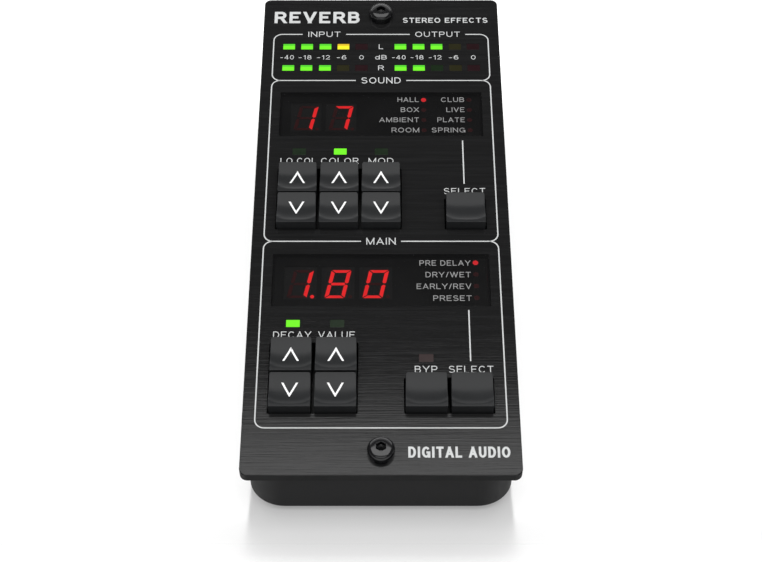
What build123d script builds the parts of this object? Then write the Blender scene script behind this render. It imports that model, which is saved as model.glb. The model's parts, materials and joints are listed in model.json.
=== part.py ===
from build123d import *

import os
from math import cos, radians, sin

# Desktop reverb control unit: a sloped metal front plate on a wedge-shaped base, with thirteen
# sprung keys, two smoked display windows, a level meter and status lamps. Millimetres, +Z up,
# +X to the right, +Y to the rear. The origin is under the centre of the unit, on the table.

# Front plate and its slope
tilt = 12.0  # slope of the front plate, degrees
plate_width = 58.0
plate_length = 135.4
plate_thickness = 2.2
plate_corner = 1.6
plate_chamfer = 0.15
front_height = 12.85  # top front edge of the plate above the table
slip = 0.05  # gap on each side of a piece that sits in a matching hole

# Base
foot_height = 1.4
foot_radius = 4.0
foot_inset = (8.7, 11.0)  # from the base's outer walls to a foot's centre
base_setback = 1.3  # from the plate's edge to the base's wall
base_corner = 7.7
base_wall = 2.0
base_floor = 2.0
base_edge = 0.4

# Keys
column_pitch = 9.58
row_pitch = 8.9
key_width = 8.9
key_length = 8.25
key_front_height = 2.45  # above the plate
key_rear_height = 3.0
key_lip = 0.9  # flat strip in front of the finger scoop
key_scoop = 0.45  # how far the scoop's middle lies below the line between its two ends
key_wall = 1.0
key_edge = 0.3
key_gap = 0.3  # between a key and the edge of its opening
key_travel = 0.8
key_clearance = 0.3  # left between a pressed key and its switch
lower_row = 19.03  # centre of the frontmost keys, along the plate from its front edge
upper_row = 67.4

# Switches under the keys
switch_size = 6.0
switch_height = 3.5
switch_base = 0.6  # closed bottom of the stem's bore
stem_radius = 1.75
stem_clearance = 0.6  # left between a pressed stem and the bottom of its bore
stem_socket = 2.1  # how far the stem goes up into the key
post_radius = 2.7

# Board under the plate
board_depth = 8.0  # top of the board below the top of the plate
board_width = 49.0
board_length = 115.0
board_thickness = 1.6
spacer_radius = 2.0
spacer_x = 21.5
spacer_rows = (12.2, 59.6, 122.7)

# Display windows: centre and size along the plate
window_width = 48.1
sound_window_row = 97.44
sound_window_length = 13.73
main_window_row = 48.95
main_window_length = 14.1
window_thickness = 1.0
window_ledge = 0.45
mask_thickness = 0.25
digit_x = -17.85
digit_pitch = 8.35
digit_body = (7.5, 12.6)
digit_opening = (7.3, 9.0)
dot_columns = (10.2, 21.06)
dot_rows = 4
dot_pitch = 3.18
sound_dot_row = 102.8
main_dot_row = 54.4
dot_radius = 0.5
dot_lamp_radius = 0.85

# Level meter and status lamps
meter_columns = (4.75, 9.2, 13.6, 18.1, 22.5)
meter_rows = (112.27, 119.31)
meter_lamp = (2.96, 1.88)
status_lamp = (3.05, 1.92)
status_shift = 0.08  # to the right of the keys' centres
status_rows = (85.86, 37.36, 28.46)  # over the upper, the lower left and the lower right keys
lamp_depth = 7.2  # lower end of the light bars
chip_lamp = (2.0, 1.25)
chip_lamp_height = 0.7

# Plate screws
screw_rows = (5.45, 129.7)
screw_head_radius = 2.9
screw_head_height = 2.4
screw_rim_height = 0.3  # straight wall under the domed top
screw_crown = (1.6, 2.45, 1.8)  # radius of the flat crown, then a point of the dome: radius and height
screw_radius = 1.5
screw_length = 8.0
hex_flats = 2.0
hex_depth = 1.3
insert_radius = 2.1
insert_length = 5.0
boss_radius = 3.6
boss_hole_depth = 9.4

# Small board and socket at the rear
usb_board = (20.0, 16.0, 1.6)
usb_board_y = 54.0
usb_post_height = 3.0
usb_post_radius = 2.5
usb_screw_x = 7.5
usb_screw_y = 49.0
usb_width = 7.5
usb_height = 2.6
usb_depth = 5.6
usb_corner = 0.9
usb_sheet = 0.3
usb_recess = 0.3
usb_rim = 0.35

# Flat cable from the small board up to the main board
cable_width = 8.0
cable_thickness = 0.2
cable_radius = 4.0
cable_reach = 12.0  # how far the cable runs forward before it turns down
connector = (10.0, 4.0, 2.0)
upper_connector_row = 106.0
lower_connector_y = 48.5

# Small screws, for both boards
small_screw_radius = 1.0
small_screw_hole = 1.1
small_head_radius = 1.9
small_head_height = 1.3
small_slot = (2.4, 0.5, 0.8)  # length, width and depth of the cross slot
spacer_thread = 4.0
post_floor = 0.4  # left under the screws in the low posts

# Worked-out places
slope = radians(tilt)
plan_length = plate_length * cos(slope) + plate_thickness * sin(slope)
front_y = -plan_length / 2
panel = Plane(
    origin=(0, front_y, front_height),
    x_dir=(1, 0, 0),
    z_dir=(0, -sin(slope), cos(slope)),
)
plate_centre = plate_length / 2
base_width = plate_width - 2 * base_setback
base_length = plan_length - 2 * base_setback
floor_top = foot_height + base_floor
column_x = [column_pitch * step for step in (-2, -1, 0, 1, 2)]
lower_rows = (lower_row, lower_row + row_pitch)
upper_rows = (upper_row, upper_row + row_pitch)

# Each key: name, column, row
keys = [
    ("lo_color_up", column_x[0], upper_rows[1]),
    ("lo_color_down", column_x[0], upper_rows[0]),
    ("color_up", column_x[1], upper_rows[1]),
    ("color_down", column_x[1], upper_rows[0]),
    ("mod_up", column_x[2], upper_rows[1]),
    ("mod_down", column_x[2], upper_rows[0]),
    ("sound_select", column_x[4], upper_rows[0]),
    ("decay_up", column_x[0], lower_rows[1]),
    ("decay_down", column_x[0], lower_rows[0]),
    ("value_up", column_x[1], lower_rows[1]),
    ("value_down", column_x[1], lower_rows[0]),
    ("bypass", column_x[3], lower_rows[0]),
    ("main_select", column_x[4], lower_rows[0]),
]

# Each key opening in the plate: first and last column, first and last row
key_openings = [
    (column_x[0], column_x[2], upper_rows[0], upper_rows[1]),
    (column_x[4], column_x[4], upper_rows[0], upper_rows[0]),
    (column_x[0], column_x[1], lower_rows[0], lower_rows[1]),
    (column_x[3], column_x[4], lower_rows[0], lower_rows[0]),
]

# Each window: name, centre row, length, number of digits, columns of dots, row of the first dot
windows = [
    ("sound", sound_window_row, sound_window_length, 2, dot_columns, sound_dot_row),
    ("main", main_window_row, main_window_length, 3, dot_columns[1:], main_dot_row),
]

meter_places = [(side * x, v) for v in meter_rows for side in (-1, 1) for x in meter_columns]
status_columns = ((0, 0), (1, 0), (2, 0), (0, 1), (1, 1), (3, 2))  # column and row of each lamp
status_places = [(column_x[x] + status_shift, status_rows[row]) for x, row in status_columns]
spacer_places = [(side * spacer_x, v) for v in spacer_rows for side in (-1, 1)]
screw_places = [(0, v) for v in screw_rows]
key_places = [(x, v) for name, x, v in keys]
post_places = [(-usb_screw_x, usb_screw_y), (usb_screw_x, usb_screw_y)]
board_bottom = board_depth + board_thickness
usb_board_bottom = floor_top + usb_post_height
usb_board_top = usb_board_bottom + usb_board[2]
usb_middle = usb_board_top + usb_height / 2
usb_face = base_length / 2 - usb_recess

# Depths below the top of the plate
lamp_back = window_thickness + mask_thickness
switch_top = board_depth - switch_height
key_skirt = switch_top - key_travel - key_clearance
stem_top = key_skirt - stem_socket
stem_bottom = board_depth - switch_base - key_travel - stem_clearance
key_ceiling = key_front_height - key_scoop - key_wall  # above the plate


def level(depth):
    """The plane parallel to the plate, this far below its top face."""
    return panel.offset(-depth)


def save(piece, name):
    """Label a finished piece and write it as the node of that name."""
    piece.part.label = name
    export_step(piece.part, f"parts/{name}.step")


def dot_places(columns, first_row):
    """Centres of a window's indicator dots."""
    return [(x, first_row - step * dot_pitch) for x in columns for step in range(dot_rows)]


def digit_places(row, count):
    """Centres of a window's digits."""
    return [(digit_x + step * digit_pitch, row) for step in range(count)]


os.makedirs("parts", exist_ok=True)

# Front plate: one sheet with key openings, stepped window openings, lamp slots and screw holes
with BuildPart() as front_plate:
    with BuildSketch(level(plate_thickness)):
        with Locations((0, plate_centre)):
            RectangleRounded(plate_width, plate_length, plate_corner)
    extrude(amount=plate_thickness)
    top_face = front_plate.faces().filter_by(lambda face: face.normal_at().Z > 0.9).sort_by(Axis.Z)[-1]
    chamfer(top_face.edges(), plate_chamfer)
    with BuildSketch(panel):
        for left, right, front, rear in key_openings:
            with Locations(((left + right) / 2, (front + rear) / 2)):
                RectangleRounded(
                    right - left + key_width + 2 * key_gap,
                    rear - front + key_length + 2 * key_gap,
                    key_gap,
                )
        for name, row, length, digits, columns, first_dot in windows:
            with Locations((0, row)):
                Rectangle(window_width - 2 * window_ledge, length - 2 * window_ledge)
        with Locations(*meter_places):
            Rectangle(meter_lamp[0] + 2 * slip, meter_lamp[1] + 2 * slip)
        with Locations(*status_places):
            Rectangle(status_lamp[0] + 2 * slip, status_lamp[1] + 2 * slip)
        with Locations(*screw_places):
            Circle(screw_radius + 2 * slip)
    extrude(amount=-plate_thickness, mode=Mode.SUBTRACT)
    with BuildSketch(panel):
        for name, row, length, digits, columns, first_dot in windows:
            with Locations((0, row)):
                Rectangle(window_width, length)
    extrude(amount=-window_thickness, mode=Mode.SUBTRACT)
save(front_plate, "front_plate")

# Base: a hollow wedge with straight walls, two bosses for the plate screws and two low posts
with BuildPart() as cavity:
    with BuildSketch(Plane.XY.offset(floor_top)):
        RectangleRounded(
            base_width - 2 * base_wall,
            base_length - 2 * base_wall,
            base_corner - base_wall,
        )
    extrude(amount=plate_length)
    with BuildSketch(level(plate_thickness)):
        with Locations(*screw_places):
            Circle(boss_radius)
    extrude(amount=-plate_length / 2, mode=Mode.SUBTRACT)
    with BuildSketch(Plane.XY.offset(floor_top)):
        with Locations(*post_places):
            Circle(usb_post_radius)
    extrude(amount=usb_post_height, mode=Mode.SUBTRACT)

with BuildPart() as base_shell:
    with BuildSketch(Plane.XY.offset(foot_height)):
        RectangleRounded(base_width, base_length, base_corner)
    extrude(amount=plate_length)
    fillet(base_shell.faces().sort_by(Axis.Z)[0].edges(), base_edge)
    split(bisect_by=level(plate_thickness), keep=Keep.BOTTOM)
    add(cavity.part, mode=Mode.SUBTRACT)
    with BuildSketch(level(plate_thickness)):
        with Locations(*screw_places):
            Circle(insert_radius + slip / 2)
    extrude(amount=-(boss_hole_depth - plate_thickness), mode=Mode.SUBTRACT)
    with BuildSketch(Plane.XY.offset(usb_board_bottom)):
        with Locations(*post_places):
            Circle(small_screw_radius + slip / 2)
    extrude(amount=-usb_post_height, mode=Mode.SUBTRACT)
    with BuildSketch(Plane.XZ.offset(-base_length / 2)):
        with Locations((0, usb_middle)):
            RectangleRounded(usb_width + 2 * usb_rim, usb_height + 2 * usb_rim, usb_corner)
    extrude(amount=4 * base_wall, mode=Mode.SUBTRACT)
save(base_shell, "base_shell")

# Feet: four rubber pads with a rounded lower rim
with BuildPart() as rubber_feet:
    foot_span = (base_width - 2 * foot_inset[0], base_length - 2 * foot_inset[1])
    with BuildSketch():
        with GridLocations(foot_span[0], foot_span[1], 2, 2):
            Circle(foot_radius)
    extrude(amount=foot_height)
    chamfer(rubber_feet.edges().group_by(Axis.Z)[0], 0.4)
save(rubber_feet, "rubber_feet")

# Plate screws and the threaded inserts that they screw into
with BuildPart() as panel_screws:
    for place in screw_places:
        section = Plane(
            origin=panel.from_local_coords((*place, 0)),
            x_dir=panel.x_dir,
            z_dir=-panel.y_dir,
        )
        rim = (screw_head_radius, screw_rim_height)
        crown = (screw_crown[0], screw_head_height)
        with BuildSketch(section):
            with BuildLine():
                Polyline((0, 0), (screw_head_radius, 0), rim)
                ThreePointArc(rim, screw_crown[1:], crown)
                Polyline(crown, (0, screw_head_height), (0, 0))
            make_face()
        revolve(axis=Axis(section.origin, section.y_dir))
    with BuildSketch(panel.offset(screw_head_height)):
        with Locations(*screw_places):
            RegularPolygon(hex_flats / 2, 6, major_radius=False)
    extrude(amount=-hex_depth, mode=Mode.SUBTRACT)
    with BuildSketch(panel):
        with Locations(*screw_places):
            Circle(screw_radius)
    extrude(amount=-screw_length)
save(panel_screws, "panel_screws")

with BuildPart() as threaded_inserts:
    with BuildSketch(level(plate_thickness + slip)):
        with Locations(*screw_places):
            Circle(insert_radius)
            Circle(screw_radius + slip / 2, mode=Mode.SUBTRACT)
    extrude(amount=-insert_length)
save(threaded_inserts, "threaded_inserts")

# Board, its spacers and its screws
with BuildPart() as control_board:
    with BuildSketch(level(board_depth)):
        with Locations((0, plate_centre)):
            RectangleRounded(board_width, board_length, 1.0)
        with Locations(*spacer_places):
            Circle(small_screw_hole, mode=Mode.SUBTRACT)
    extrude(amount=-board_thickness)
save(control_board, "control_board")

with BuildPart() as board_spacers:
    with BuildSketch(level(plate_thickness)):
        with Locations(*spacer_places):
            Circle(spacer_radius)
            Circle(small_screw_radius + slip / 2, mode=Mode.SUBTRACT)
    extrude(amount=-(board_depth - plate_thickness))
save(board_spacers, "board_spacers")

with BuildPart() as board_screws:
    with BuildSketch(level(board_bottom)):
        with Locations(*spacer_places):
            Circle(small_screw_radius)
    extrude(amount=board_thickness + spacer_thread)
    with BuildSketch(level(board_bottom)):
        with Locations(*spacer_places):
            Circle(small_head_radius)
    extrude(amount=-small_head_height)
    with BuildSketch(level(board_bottom + small_head_height)):
        with Locations(*spacer_places):
            Rectangle(small_slot[0], small_slot[1])
            Rectangle(small_slot[1], small_slot[0])
    extrude(amount=small_slot[2], mode=Mode.SUBTRACT)
save(board_screws, "board_screws")

# Windows, the masks behind them, the digits and the indicator lamps
for name, row, length, digits, columns, first_dot in windows:
    with BuildPart() as window:
        with BuildSketch(panel):
            with Locations((0, row)):
                Rectangle(window_width - 2 * slip, length - 2 * slip)
        extrude(amount=-window_thickness)
    save(window, f"{name}_window")

    opening_width = window_width - 2 * window_ledge
    opening_length = length - 2 * window_ledge
    with BuildPart() as mask:
        with BuildSketch(level(window_thickness)):
            with Locations((0, row)):
                Rectangle(opening_width - 2 * slip, opening_length - 2 * slip)
            with Locations(*digit_places(row, digits)):
                Rectangle(digit_opening[0], digit_opening[1], mode=Mode.SUBTRACT)
            with Locations(*dot_places(columns, first_dot)):
                Circle(dot_radius, mode=Mode.SUBTRACT)
        extrude(amount=-mask_thickness)
    save(mask, f"{name}_mask")

    for index, place in enumerate(digit_places(row, digits)):
        with BuildPart() as digit:
            with BuildSketch(level(lamp_back)):
                with Locations(place):
                    Rectangle(digit_body[0], digit_body[1])
            extrude(amount=-(board_depth - lamp_back))
        save(digit, f"{name}_digit_{index + 1}")

with BuildPart() as mode_lamps:
    for name, row, length, digits, columns, first_dot in windows:
        with BuildSketch(level(lamp_back)):
            with Locations(*dot_places(columns, first_dot)):
                Circle(dot_lamp_radius)
        extrude(amount=-(board_depth - lamp_back))
save(mode_lamps, "mode_lamps")

# Level meter and status lamps: clear light bars through the plate, over chip lamps on the board
for name, places, size in (
    ("meter", meter_places, meter_lamp),
    ("status", status_places, status_lamp),
):
    with BuildPart() as light_bars:
        with BuildSketch(panel):
            with Locations(*places):
                Rectangle(size[0], size[1])
        extrude(amount=-lamp_depth)
    save(light_bars, f"{name}_light_bars")

    with BuildPart() as chip_lamps:
        with BuildSketch(level(board_depth)):
            with Locations(*places):
                Rectangle(chip_lamp[0], chip_lamp[1])
        extrude(amount=chip_lamp_height)
    save(chip_lamps, f"{name}_lamps")

# Switch bodies on the board, each with a blind bore for its stem
with BuildPart() as switch_bodies:
    with BuildSketch(level(board_depth)):
        with Locations(*key_places):
            Rectangle(switch_size, switch_size)
    extrude(amount=switch_height)
    with BuildSketch(level(switch_top)):
        with Locations(*key_places):
            Circle(stem_radius + slip)
    extrude(amount=-(switch_height - switch_base), mode=Mode.SUBTRACT)
save(switch_bodies, "switch_bodies")

# Keys and the switch stems that they are pushed onto
for name, x, v in keys:
    side = Plane(panel.from_local_coords((x, v, 0)), x_dir=panel.y_dir, z_dir=panel.x_dir)
    with BuildPart() as key:
        with BuildSketch(side):
            with BuildLine():
                scoop_start = (-key_length / 2 + key_lip, key_front_height)
                scoop_end = (key_length / 2, key_rear_height)
                Polyline(
                    scoop_start,
                    (-key_length / 2, key_front_height),
                    (-key_length / 2, -key_skirt),
                    (key_length / 2, -key_skirt),
                    scoop_end,
                )
                SagittaArc(scoop_start, scoop_end, -key_scoop)
            make_face()
        extrude(amount=key_width / 2, both=True)
        uprights = key.edges().filter_by(lambda edge: abs(edge.tangent_at().dot(panel.z_dir)) > 0.99)
        fillet(uprights, key_edge)
        with BuildSketch(level(key_skirt)):
            with Locations((x, v)):
                Rectangle(key_width - 2 * key_wall, key_length - 2 * key_wall)
                Circle(post_radius, mode=Mode.SUBTRACT)
        extrude(amount=key_skirt + key_ceiling, mode=Mode.SUBTRACT)
        with BuildSketch(level(key_skirt)):
            with Locations((x, v)):
                Circle(stem_radius)
        extrude(amount=stem_socket, mode=Mode.SUBTRACT)
    save(key, f"{name}_key")

    with BuildPart() as stem:
        with BuildSketch(level(stem_top)):
            with Locations((x, v)):
                Circle(stem_radius)
        extrude(amount=stem_top - stem_bottom)
    save(stem, f"{name}_stem")

# Chips under the board
for name, x, v, width, length, height, leads in (
    ("microcontroller", 0, 86.0, 7.0, 7.0, 1.2, 8),
    ("display_driver", -8.0, 72.0, 7.5, 10.3, 1.6, 7),
):
    with BuildPart() as chip:
        with BuildSketch(level(board_bottom)):
            with Locations((x, v)):
                Rectangle(width, length)
        extrude(amount=-height)
        with BuildSketch(level(board_bottom)):
            with Locations((x, v)):
                with GridLocations(0, (length - 1.5) / (leads - 1), 1, leads):
                    Rectangle(width + 2.0, 0.35)
        extrude(amount=-0.5)
    save(chip, name)

# Small board at the rear with its socket, screws and the flat cable up to the main board
with BuildPart() as socket_board:
    with BuildSketch(Plane.XY.offset(usb_board_bottom)):
        with Locations((0, usb_board_y)):
            Rectangle(usb_board[0], usb_board[1])
        with Locations(*post_places):
            Circle(small_screw_hole, mode=Mode.SUBTRACT)
    extrude(amount=usb_board[2])
save(socket_board, "socket_board")

with BuildPart() as socket_board_screws:
    with BuildSketch(Plane.XY.offset(usb_board_top)):
        with Locations(*post_places):
            Circle(small_head_radius)
    extrude(amount=small_head_height)
    with BuildSketch(Plane.XY.offset(usb_board_top)):
        with Locations(*post_places):
            Circle(small_screw_radius)
    extrude(amount=-(usb_board[2] + usb_post_height - post_floor))
    with BuildSketch(Plane.XY.offset(usb_board_top + small_head_height)):
        with Locations(*post_places):
            Rectangle(small_slot[0], small_slot[1])
            Rectangle(small_slot[1], small_slot[0])
    extrude(amount=-small_slot[2], mode=Mode.SUBTRACT)
save(socket_board_screws, "socket_board_screws")

with BuildPart() as usb_shell:
    with BuildSketch(Plane.XZ.offset(-usb_face)):
        with Locations((0, usb_middle)):
            outline = Rectangle(usb_width, usb_height)
        chamfer(outline.vertices().group_by(Axis.Y)[0], usb_corner)
    extrude(amount=usb_depth)
    with BuildSketch(Plane.XZ.offset(-usb_face)):
        with Locations((0, usb_middle)):
            mouth = Rectangle(usb_width - 2 * usb_sheet, usb_height - 2 * usb_sheet)
        chamfer(mouth.vertices().group_by(Axis.Y)[0], usb_corner - usb_sheet / 2)
    extrude(amount=usb_depth - usb_sheet, mode=Mode.SUBTRACT)
save(usb_shell, "usb_shell")

with BuildPart() as usb_tongue:
    with BuildSketch(Plane.XZ.offset(-(usb_face - usb_depth + usb_sheet))):
        with Locations((0, usb_middle + 0.3)):
            Rectangle(3.6, 0.6)
    extrude(amount=-(usb_depth - usb_sheet - 0.6))
save(usb_tongue, "usb_tongue")

with BuildPart() as flex_connectors:
    with BuildSketch(level(board_bottom)):
        with Locations((0, upper_connector_row)):
            Rectangle(connector[0], connector[1])
    extrude(amount=-connector[2])
    with BuildSketch(Plane.XY.offset(usb_board_top)):
        with Locations((0, lower_connector_y)):
            Rectangle(connector[0], connector[1])
    extrude(amount=connector[2])
save(flex_connectors, "flex_connectors")

cable_row = upper_connector_row - connector[1] / 2
cable_depth = board_bottom + connector[2] / 2
cable_start = panel.from_local_coords((0, cable_row, -cable_depth))
cable_bend = panel.from_local_coords((0, cable_row - cable_reach, -cable_depth))
cable_end = (lower_connector_y - connector[1] / 2, usb_board_top + connector[2] / 2)
with BuildPart() as flex_cable:
    with BuildSketch(Plane.YZ):
        with BuildLine() as route:
            FilletPolyline(
                (cable_start.Y, cable_start.Z),
                (cable_bend.Y, cable_bend.Z),
                (cable_bend.Y, cable_end[1]),
                cable_end,
                radius=cable_radius,
            )
        trace(route.edges(), line_width=cable_thickness)
    extrude(amount=cable_width / 2, both=True)
save(flex_cable, "flex_cable")
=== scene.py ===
import json
import math

import bmesh
import bpy
from mathutils import Matrix, Vector


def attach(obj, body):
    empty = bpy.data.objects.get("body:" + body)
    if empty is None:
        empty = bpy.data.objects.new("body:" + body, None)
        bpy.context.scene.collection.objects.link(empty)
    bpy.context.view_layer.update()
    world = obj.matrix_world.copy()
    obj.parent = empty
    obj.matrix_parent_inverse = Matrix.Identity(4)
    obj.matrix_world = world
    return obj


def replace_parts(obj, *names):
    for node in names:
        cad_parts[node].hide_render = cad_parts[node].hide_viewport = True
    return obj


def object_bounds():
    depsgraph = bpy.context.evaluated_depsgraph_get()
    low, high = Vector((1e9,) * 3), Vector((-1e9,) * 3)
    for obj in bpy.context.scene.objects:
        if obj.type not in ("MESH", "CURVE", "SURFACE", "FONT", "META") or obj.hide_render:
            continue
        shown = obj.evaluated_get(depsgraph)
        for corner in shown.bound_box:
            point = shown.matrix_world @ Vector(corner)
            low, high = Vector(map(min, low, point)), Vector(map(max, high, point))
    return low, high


# A desktop reverb control unit. Shapes on the sloped plate are given in millimetres in the plate's
# own frame: x to the right, v up the slope from the plate's front edge, c out of its top face.

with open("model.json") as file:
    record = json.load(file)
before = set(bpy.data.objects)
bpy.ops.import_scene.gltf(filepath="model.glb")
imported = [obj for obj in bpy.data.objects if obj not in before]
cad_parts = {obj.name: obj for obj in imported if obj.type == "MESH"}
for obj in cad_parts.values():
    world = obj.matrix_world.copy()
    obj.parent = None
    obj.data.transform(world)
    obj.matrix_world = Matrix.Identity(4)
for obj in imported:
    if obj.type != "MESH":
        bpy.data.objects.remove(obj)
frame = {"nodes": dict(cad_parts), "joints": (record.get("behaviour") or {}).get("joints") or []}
cad_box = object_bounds()
nodes = frame["nodes"]

MM = 0.001
WELD = 0.001  # points of a mesh that are closer than this are one point


# ------------------------ places taken from the frame


def plate_frame():
    """Matrix from the plate's frame, in millimetres, to the row frame. Keys move along -c."""
    normal = -Vector(frame["joints"][0]["axis"]).normalized()
    along = Vector((0, normal.z, -normal.y))
    points = [vertex.co for vertex in nodes["front_plate"].data.vertices]
    front = min(point.dot(along) for point in points)
    top = max(point.dot(normal) for point in points)
    turn = Matrix((Vector((1, 0, 0)), along, normal)).transposed().to_4x4()
    return Matrix.Translation(along * front + normal * top) @ turn @ Matrix.Scale(MM, 4)


PLATE = plate_frame()
TO_PLATE = PLATE.inverted()


def box_of(points):
    """Lowest and highest corner of some points."""
    low = Vector([min(point[i] for point in points) for i in range(3)])
    high = Vector([max(point[i] for point in points) for i in range(3)])
    return low, high


def plate_box(node):
    """Lowest and highest corner of a CAD node in the plate's frame."""
    return box_of([TO_PLATE @ vertex.co for vertex in nodes[node].data.vertices])


def solids(node):
    """The plate boxes of a CAD node's separate solids, from front to rear and left to right."""
    mesh = bmesh.new()
    mesh.from_mesh(nodes[node].data)
    bmesh.ops.transform(mesh, matrix=TO_PLATE, verts=mesh.verts)
    bmesh.ops.remove_doubles(mesh, verts=mesh.verts, dist=WELD)
    waiting = set(mesh.verts)
    boxes = []
    while waiting:
        found = [waiting.pop()]
        for vertex in found:
            near = {edge.other_vert(vertex) for edge in vertex.link_edges} & waiting
            waiting -= near
            found.extend(near)
        boxes.append(box_of([vertex.co for vertex in found]))
    mesh.free()
    return sorted(boxes, key=lambda pair: (round(pair[0].y, 1), round(pair[0].x, 1)))


def centre(pair):
    """Middle of a box."""
    return (pair[0] + pair[1]) / 2


# ------------------------ node materials


def node_material(name):
    """An empty material with its Principled shader and its node tree."""
    material = bpy.data.materials.new(name)
    material.use_nodes = True
    return material, material.node_tree, material.node_tree.nodes["Principled BSDF"]


def add_node(tree, kind, **inputs):
    """A node of that kind with these input values."""
    node = tree.nodes.new(kind)
    for key, value in inputs.items():
        node.inputs[key.replace("_", " ")].default_value = value
    return node


TEXTURE_RANGE = (0.3, 0.7)  # where nearly all of a noise texture's values lie


def noise(tree, scale, detail=3.0, roughness=0.5, stretch=(1, 1, 1), turn=0.0):
    """Noise over the object's own coordinates, in metres, turned about x and then stretched."""
    place = tree.nodes.new("ShaderNodeTexCoord")
    aligned = tree.nodes.new("ShaderNodeMapping")
    aligned.vector_type = "TEXTURE"
    aligned.inputs["Rotation"].default_value = (turn, 0, 0)
    scaled = tree.nodes.new("ShaderNodeMapping")
    scaled.inputs["Scale"].default_value = stretch
    texture = add_node(tree, "ShaderNodeTexNoise", Scale=scale, Detail=detail, Roughness=roughness)
    tree.links.new(place.outputs["Object"], aligned.inputs["Vector"])
    tree.links.new(aligned.outputs["Vector"], scaled.inputs["Vector"])
    tree.links.new(scaled.outputs["Vector"], texture.inputs["Vector"])
    return texture.outputs["Fac"]


def spread(tree, value, low, high, start=TEXTURE_RANGE[0], end=TEXTURE_RANGE[1]):
    """Maps a value from the range start to end onto the range low to high."""
    node = tree.nodes.new("ShaderNodeMapRange")
    for key, number in (("From Min", start), ("From Max", end), ("To Min", low), ("To Max", high)):
        node.inputs[key].default_value = number
    tree.links.new(value, node.inputs["Value"])
    return node.outputs["Result"]


def two_colours(tree, value, first, second):
    """Colour that runs from first to second as a texture's value rises."""
    ramp = tree.nodes.new("ShaderNodeValToRGB")
    for stop, position, colour in zip(ramp.color_ramp.elements, TEXTURE_RANGE, (first, second)):
        stop.position = position
        stop.color = (*colour, 1)
    tree.links.new(value, ramp.inputs["Fac"])
    return ramp.outputs["Color"]


def bump(tree, shader, value, distance, strength=0.5):
    """Fine relief from a texture, its height in metres."""
    node = add_node(tree, "ShaderNodeBump", Strength=strength, Distance=distance)
    tree.links.new(value, node.inputs["Height"])
    tree.links.new(node.outputs["Normal"], shader.inputs["Normal"])


def grained(name, dark, light, rough, scale=3000, distance=0.00001, metallic=0.0, specular=0.5):
    """A moulded, painted or plated surface: two close colours, uneven gloss and fine grain, whose
    depth is the distance, in metres."""
    material, tree, shader = node_material(name)
    shader.inputs["Metallic"].default_value = metallic
    shader.inputs["Specular IOR Level"].default_value = specular
    broad = noise(tree, scale / 12)
    fine = noise(tree, scale, detail=2.0)
    tree.links.new(two_colours(tree, broad, dark, light), shader.inputs["Base Color"])
    tree.links.new(spread(tree, broad, *rough), shader.inputs["Roughness"])
    bump(tree, shader, fine, distance)
    return material


def brushed(name, dark, light, rough, turn, specular):
    """Anodised metal with fine scratches that run along x."""
    material, tree, shader = node_material(name)
    shader.inputs["Specular IOR Level"].default_value = specular
    hair = noise(tree, 1.0, detail=4.0, roughness=0.6, stretch=(60, 3000, 3000), turn=turn)
    streak = noise(tree, 1.0, detail=4.0, roughness=0.7, stretch=(50, 1500, 1500), turn=turn)
    tree.links.new(two_colours(tree, streak, dark, light), shader.inputs["Base Color"])
    tree.links.new(spread(tree, streak, *rough), shader.inputs["Roughness"])
    bump(tree, shader, hair, distance=0.000011, strength=1.0)
    return material


def glowing(name, colour, dimmer, strength=1.0):
    """A lit lamp: light of two close colours, a little uneven across the diffuser."""
    material, tree, shader = node_material(name)
    shader.inputs["Roughness"].default_value = 0.45
    shader.inputs["Specular IOR Level"].default_value = 0.1
    shader.inputs["Base Color"].default_value = (0.01, 0.01, 0.01, 1)
    cloud = noise(tree, 500, detail=1.0)
    tree.links.new(two_colours(tree, cloud, dimmer, colour), shader.inputs["Emission Color"])
    shader.inputs["Emission Strength"].default_value = strength
    return material


def smoked(name, tint, opacity, rough, specular):
    """A dark clear window: what is behind it shows dimly."""
    material, tree, shader = node_material(name)
    shader.inputs["Base Color"].default_value = (*tint, 1)
    shader.inputs["Alpha"].default_value = opacity
    shader.inputs["Specular IOR Level"].default_value = specular
    cloud = noise(tree, 150, detail=2.0)
    tree.links.new(spread(tree, cloud, *rough), shader.inputs["Roughness"])
    return material


SLOPE = math.atan2(-PLATE.col[2].y, PLATE.col[2].z)

ANODISED = brushed("anodised_face", (0.0068, 0.0068, 0.007), (0.0122, 0.0122, 0.0125), (0.09, 0.11),
                   turn=SLOPE, specular=0.33)
# The plate's edge walls: a darker, duller copy of the anodised black, painted shade on faces that look
# forward and down.
PLATE_EDGE_SHADED = grained("plate_edge_shaded", (0.004, 0.004, 0.0042), (0.007, 0.007, 0.0072), (0.4, 0.5),
                     specular=0.03)
BASE_PLASTIC = grained("base_plastic", (0.008, 0.008, 0.0084), (0.0104, 0.0104, 0.0108), (0.4, 0.5),
                       scale=3500, distance=0.00002, specular=0.11)
RUBBER = grained("foot_rubber", (0.012, 0.012, 0.012), (0.02, 0.02, 0.02), (0.75, 0.85),
                 scale=2500, distance=0.00004)
SCREW_BLACK = grained("black_oxide", (0.004, 0.004, 0.0045), (0.008, 0.008, 0.009), (0.12, 0.18),
                      distance=0.000005)
KEY_PLASTIC = grained("key_plastic", (0.0168, 0.0176, 0.0184), (0.0195, 0.0203, 0.0213), (0.23, 0.26),
                      scale=900, distance=0.000004, specular=0.18)
LENS = smoked("smoked_lens", (0.006, 0.006, 0.0063), opacity=0.5, rough=(0.22, 0.27), specular=0.12)
DIGIT_FACE = grained("digit_face", (0.042, 0.04, 0.04), (0.05, 0.048, 0.048), (0.45, 0.55),
                     scale=4000, specular=0.3)
SEGMENT_OFF = grained("segment_off", (0.21, 0.01, 0.012), (0.25, 0.012, 0.015), (0.4, 0.5),
                      scale=4000, specular=0.3)
SEGMENT_LIT = glowing("segment_lit", (1.0, 0.021, 0.023), (0.9, 0.016, 0.019), strength=3.1)
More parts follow.
